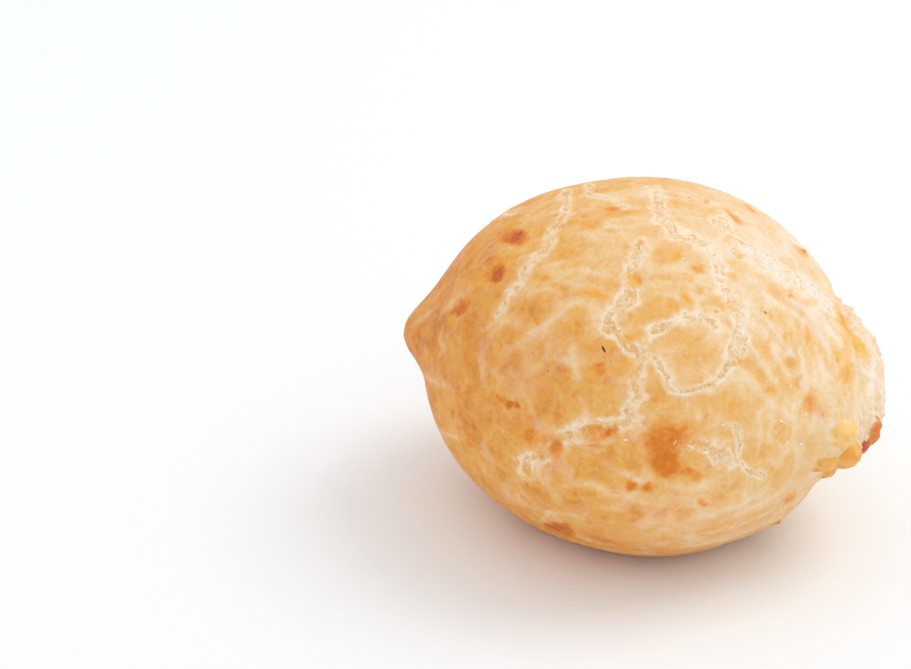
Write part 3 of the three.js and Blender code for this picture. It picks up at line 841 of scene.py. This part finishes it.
# Browned cheese, from just gilded to dark.
BROWNS = [
    (0.05, paint("f1b858")), (0.3, paint("eda440")), (0.5, paint("e8902e")), (0.68, paint("dd7d1c")),
    (0.85, paint("d06a14")), (1, paint("be5510")),
]
CRUMB_COLOURS = [
    (0, paint("f5e6da")), (0.2, paint("f1d6b0")), (0.45, paint("eac28a")), (0.75, paint("e2ab62")),
    (1, paint("d99a4c")),
]
CHEESE_COLOURS = [
    (0, paint("f9d796")), (0.2, paint("f5c26c")), (0.42, paint("eca644")), (0.7, paint("da7420")),
    (0.95, paint("b24212")),
]

crumb_finish = Finish("crumb", Specular_IOR_Level=0.3, Coat_Roughness=0.25)
# The bake measure holds painted sheen and shade as well as browning: paler towards the top and the
# right, darker towards the left.
crumb_bake_and_light = crumb_finish.measure("bake")
crumb_paleness_and_light = 1.2 - crumb_bake_and_light
in_cracks = crumb_finish.measure("in crack")
foamy = 0.35 + 0.65 * in_cracks
pores = crumb_finish.pores(0.4)
crumb_tone = 1.1 * crumb_bake_and_light - 0.09 - 0.02 * in_cracks + 0.3 * (crumb_finish.cloud(1.2, 3) - 0.5)
# Painted shade: the crumb is darker in the low parts of its stringy relief.
crumb_tone = crumb_tone + 0.22 * (crumb_finish.measure("hollow") - 0.5)
crumb_colour = crumb_finish.ramp(crumb_tone, CRUMB_COLOURS)
starch = foamy * crumb_paleness_and_light * crumb_finish.step(crumb_finish.cloud(0.35, 2), 0.5, 0.6)
crumb_colour = crumb_finish.tint(0.62 * starch, crumb_colour, paint("fbecd8"))
# Painted shade: darker orange at the bottoms of the burst bubbles.
pits = foamy * crumb_finish.step(crumb_finish.measure("pits"), 0.55, 1) * (0.4 + crumb_bake_and_light)
crumb_colour = crumb_finish.tint(0.6 * pits, crumb_colour, paint("e0a052"))
clustered = crumb_finish.step(crumb_finish.cloud(1.6, 2), 0.4, 0.6)
# Painted shade: dark dots in the middles of the pores that the bump sinks.
deep_pore_shade = foamy * crumb_finish.step(pores, 0.25, 0.05) * clustered
crumb_colour = crumb_finish.tint(0.6 * deep_pore_shade, crumb_colour, paint("d89446"))
from_edge = crumb_finish.measure("gap") + 0.4 * (crumb_finish.cloud(0.6, 4) - 0.5)
crumb_rim = crumb_finish.step(from_edge, -0.15, 0.1) * crumb_finish.step(from_edge, 2.2, 1.8)
crumb_colour = crumb_finish.tint(0.38 * crumb_rim * crumb_paleness_and_light, crumb_colour, paint("f7e0c2"))
crumb_colour = crumb_finish.tint(1.2 * crumb_finish.measure("yellow"), crumb_colour, paint("f0be62"))
crumb_heat = crumb_finish.measure("browned")
crumb_colour = crumb_finish.tint(1.5 * crumb_heat, crumb_colour, crumb_finish.ramp(crumb_heat, BROWNS))
fried_tone = crumb_finish.measure("fried") + 0.25 * (crumb_finish.cloud(0.8, 3) - 0.5)
melted = crumb_finish.measure("cheese")
crumb_colour = crumb_finish.tint(melted, crumb_colour, crumb_finish.ramp(fried_tone, CHEESE_COLOURS))
crumb_finish.feed(crumb_finish.shader.inputs["Coat Weight"], 0.3 * melted)
crumb_relief = crumb_finish.cloud(0.2, 4) + crumb_finish.step(pores, 0, 0.5)
crumb_finish.apply(crumb, crumb_colour, 0.7 - 0.25 * melted, crumb_relief, 0.035)
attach(crumb, "root")
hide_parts("cheese_ball")

# ---------------------------------------------------------------------------
# Crust: the dough's skin, dried thin and golden in the oven. It is one closed skin that
# dips under the crumb in each crack and on the torn end, with lips along the cracks.
# ---------------------------------------------------------------------------
CRUST_CELLS = 82
CRUST_DIP = 0.3
LIP_HEIGHT, LIP_WIDTH, LIP_FROM_CRACK = 0.08, 0.35, 0.45
WRINKLE_HEIGHT = 0.06
PLEAT_HEIGHT = 0.08
FLECK_HEIGHT = 0.08
SCORCH_PUCKER, SCORCH_DIP = 0.16, 0.12
# Unevenness of the skin: (height, width).
UNEVENNESS = [(0.05, 3), (0.035, 1.0)]
# Where the crust has opened, from a crack's edge and from the torn rim.
OPEN_IN_CRACK, OPEN_ON_END, FRAYING = (-0.45, -0.1), (-0.25, 0.1), 0.3
# How far round marks and edges the skin is made finer, and from what strength on.
AROUND_CRACK, AROUND_RIM, AROUND_SPECK = 1.3, 1.0, (1, 5)
CRACK_EDGE_HALF, RIM_EDGE_HALF = 0.45, 0.4
FINER_FROM_WRINKLE, FINER_FROM_HEAT = 0.25, 0.3
# How much the pleats' ridges are painted paler and their furrows darker, as painted light and shade;
# and how much paler the bands along wrinkles are.
PLEAT_LIGHT_AND_SHADE, BAND_PALENESS = 0.14, 0.12


def near_specks(points):
    """Where specks and painted glints lie, which are small and sharp."""
    return spot_share(points, SPECKS + PAINTED_GLINTS, AROUND_SPECK) > 0


def near_marks(points):
    """Where the crust has marks that need a finer skin."""
    near_crack = crack_gap(points, 0) < AROUND_CRACK
    near_rim = np.abs(torn_share(points, 0)) < AROUND_RIM
    wrinkled = wrinkling(points)[0] > FINER_FROM_WRINKLE
    return near_crack | near_rim | near_specks(points) | wrinkled | (browning(points) > FINER_FROM_HEAT)


def near_edges(points):
    """Where torn edges and specks need the finest."""
    ragged = raggedness(points)
    near_crack_edge = np.abs(crack_gap(points, ragged)) < CRACK_EDGE_HALF
    near_rim_edge = np.abs(torn_share(points, ragged)) < RIM_EDGE_HALF
    return near_crack_edge | near_rim_edge | near_specks(points)


crust_shape = ball_mesh(CRUST_CELLS)
for is_marked in (near_marks, near_edges, near_specks):
    refine_where(crust_shape, is_marked)

crust_ways = ways_of(crust_shape)
crust_points = on_form(crust_ways)
crust_ragged = raggedness(crust_points)
crust_gap = crack_gap(crust_points, crust_ragged)
crust_torn = torn_share(crust_points, crust_ragged)
heat = browning(crust_points)
wrinkle, wrinkle_band = wrinkling(crust_points)
pleat = pleating(crust_points)
fleck = spot_share(crust_points, PAINTED_GLINTS, SHARP_FADE)
frayed = crust_gap + FRAYING * grain(crust_points, 0.45, shift=7)
opened = np.maximum(1 - smooth_step(frayed, *OPEN_IN_CRACK), smooth_step(crust_torn, *OPEN_ON_END))
crust_height = big_relief(crust_points) - CRUST_DIP * opened
crust_height += LIP_HEIGHT * bell(crust_gap - LIP_FROM_CRACK, LIP_WIDTH) * (1 - opened)
crust_height += WRINKLE_HEIGHT * wrinkle + PLEAT_HEIGHT * pleat + FLECK_HEIGHT * fleck
crust_height += sum(height * grain(crust_points, width) for height, width in UNEVENNESS)
crust_height += heat * (SCORCH_PUCKER * grain(crust_points, 0.9, shift=3) - SCORCH_DIP)
crust_measures = {
    # Painted light on the pleat ridges and painted shade in their furrows.
    "bake": toasting_and_painted_light(crust_points) - PLEAT_LIGHT_AND_SHADE * pleat - BAND_PALENESS * wrinkle_band,
    "gap": crust_gap,
    "browned": heat,
    "wrinkle": wrinkle,
    "lengthwise": drawn_lengthwise(crust_points),
    "round the end": drawn_round_end(crust_points),
    "gold": grain(crust_points, 5, shift=41),
    "yellow": spot_share(jostle(crust_points, YELLOW_BENDS), YELLOW),
    "dusty": paler_pinker_patches(crust_points),
    "speck": spot_share(crust_points, SPECKS, SHARP_FADE),
    "fleck": fleck,
}
crust_skin = crust_points + crust_ways * crust_height[:, None]
crust = finish_shape("crust", crust_shape, crust_skin, crust_measures)

CRUST_COLOURS = [
    (0, paint("f3e4d6")), (0.12, paint("f2dbc0")), (0.27, paint("f0cd98")), (0.42, paint("eebe76")),
    (0.57, paint("ebad54")), (0.72, paint("e59a40")), (0.87, paint("dc8635")), (1, paint("cd722c")),
]

golden = Finish("golden crust", Specular_IOR_Level=0.3)
# The bake measure holds painted sheen and shade as well as browning: paler towards the top and the
# right, darker towards the left.
crust_bake_and_light = golden.measure("bake")
crust_paleness_and_light = 1.1 - crust_bake_and_light
fine_cloud = golden.cloud(0.6, 4)
lengthwise, round_end = golden.measure("lengthwise"), golden.measure("round the end")
lines = golden.plate_edges(5.5, (1, 1, 1), 0.6) * (1 - lengthwise - round_end)
lines = lines + golden.plate_edges(2.6, (5, 1, 1), 0.7) * lengthwise
lines = lines + golden.plate_edges(2.6, (1, 4, 4), 0.7) * round_end
lines = lines + 0.6 * golden.plate_edges(2.8, (1.3, 1, 1), 0.4)
tone = crust_bake_and_light + 0.34 * (fine_cloud - 0.5) + 0.26 * (golden.cloud(0.22, 2) - 0.5)
tone = tone + 0.14 * golden.step(golden.cloud(1.3, 2), 0.52, 0.72)
colour = golden.ramp(tone, CRUST_COLOURS)
colour = golden.tint(0.26 * golden.measure("dusty"), colour, paint("ecd0b8"))
colour = golden.tint(0.3 * golden.step(golden.measure("gold"), 0, 0.45), colour, paint("ecb05a"))
colour = golden.tint(0.45 * golden.measure("wrinkle"), colour, paint("f8e3c8"))
colour = golden.tint(0.4 * lines * crust_paleness_and_light, colour, paint("f8e6cc"))
from_crack = golden.measure("gap")
gap = from_crack + 0.5 * (fine_cloud - 0.5)
colour = golden.tint(0.42 * golden.step(gap, 1.6, 0.2), colour, paint("f4dab2"))
uneven = golden.step(golden.cloud(1.5, 2), 0.3, 0.6)
pale_rim = golden.step(gap, 0.9, 0.25) * uneven * (0.3 + 0.65 * crust_paleness_and_light)
colour = golden.tint(pale_rim, colour, paint("f7e6ce"))
crumbly = golden.step(gap, 0.55, 0.1)
crumbs = crumbly * golden.step(golden.cloud(0.35, 2), 0.5, 0.64)
colour = golden.tint(0.5 * crumbs, colour, paint("fbebd6"))
# Painted shade: dark dots for small pores in the crust near the crack edges.
edge_pore_shade = crumbly * golden.step(golden.pores(0.4), 0.25, 0.05)
colour = golden.tint(0.6 * edge_pore_shade, colour, paint("d08a4a"))
# Painted shade: darker orange-tan on the crust's walls where it dips into the cracks.
colour = golden.tint(0.7 * golden.step(from_crack, 0.08, -0.12), colour, paint("e6b470"))
colour = golden.tint(1.3 * golden.measure("yellow"), colour, paint("efae46"))
spot_heat = golden.measure("browned") * (0.55 + 0.9 * fine_cloud)
colour = golden.tint(1.7 * spot_heat, colour, golden.ramp(spot_heat, BROWNS))
colour = golden.tint(golden.measure("speck"), colour, paint("57432f"))
# Painted highlights: white glints on small raised flecks.
colour = golden.tint(0.85 * golden.measure("fleck"), colour, paint("fffaf2"))
sheen = 0.66 - 0.25 * golden.step(spot_heat, 0.2, 0.8)
golden.apply(crust, colour, sheen, golden.cloud(0.3, 5) + 0.5 * lines, 0.09)
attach(crust, "root")
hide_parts("cheese_ball")

# ---------------------------------------------------------------------------
# Table, light and camera. A plain white table under a large soft lamp from the right
# and behind, with pale light all round.
# ---------------------------------------------------------------------------
TABLE_SIZE = 4
LAMP_PLACE, LAMP_SIZE, LAMP_POWER = (0.4, 0.15, 0.7), 0.4, 1.6
ROOM_STRENGTH = 0.895
LENS, SENSOR_WIDTH, NEAR_CLIP = 100, 36, 0.01
SIGHT_DISTANCE = 0.317
SIGHT_RISE = math.radians(28)
SIGHT_AIM = Vector((-0.02349, 0.00155, 0.02289))

table_shape = bmesh.new()
bmesh.ops.create_grid(table_shape, x_segments=1, y_segments=1, size=TABLE_SIZE / 2)
table_mesh = bpy.data.meshes.new("table")
table_shape.to_mesh(table_mesh)
table_shape.free()
table = bpy.data.objects.new("table", table_mesh)
bpy.context.collection.objects.link(table)
white = Finish("white table", Base_Color=(0.92, 0.942, 0.965, 1), Roughness=0.9, Specular_IOR_Level=0.1)
table_mesh.materials.append(white.material)


def stand(name, thing, place, aim):
    """Stands a lamp or a camera at a place, turned to what it is aimed at."""
    stood = bpy.data.objects.new(name, thing)
    stood.location = place
    stood.rotation_euler = (aim - stood.location).to_track_quat("-Z", "Y").to_euler()
    bpy.context.collection.objects.link(stood)
    return stood


ball_middle = Vector(MIDDLE * MM)
lamp = bpy.data.lights.new("window", "AREA")
lamp.size = LAMP_SIZE
lamp.energy = LAMP_POWER
stand("window", lamp, LAMP_PLACE, ball_middle)

room = bpy.data.worlds.new("pale room")
room.use_nodes = True
room.node_tree.nodes["Background"].inputs["Color"].default_value = (1, 1, 1, 1)
room.node_tree.nodes["Background"].inputs["Strength"].default_value = ROOM_STRENGTH
bpy.context.scene.world = room
bpy.context.scene.view_settings.view_transform = "Standard"

lens = bpy.data.cameras.new("camera")
lens.lens = LENS
lens.sensor_width = SENSOR_WIDTH
lens.clip_start = NEAR_CLIP
back_along_sight = Vector((0, -math.cos(SIGHT_RISE), math.sin(SIGHT_RISE)))
sight_from = ball_middle + SIGHT_DISTANCE * back_along_sight
bpy.context.scene.camera = stand("camera", lens, sight_from, SIGHT_AIM)
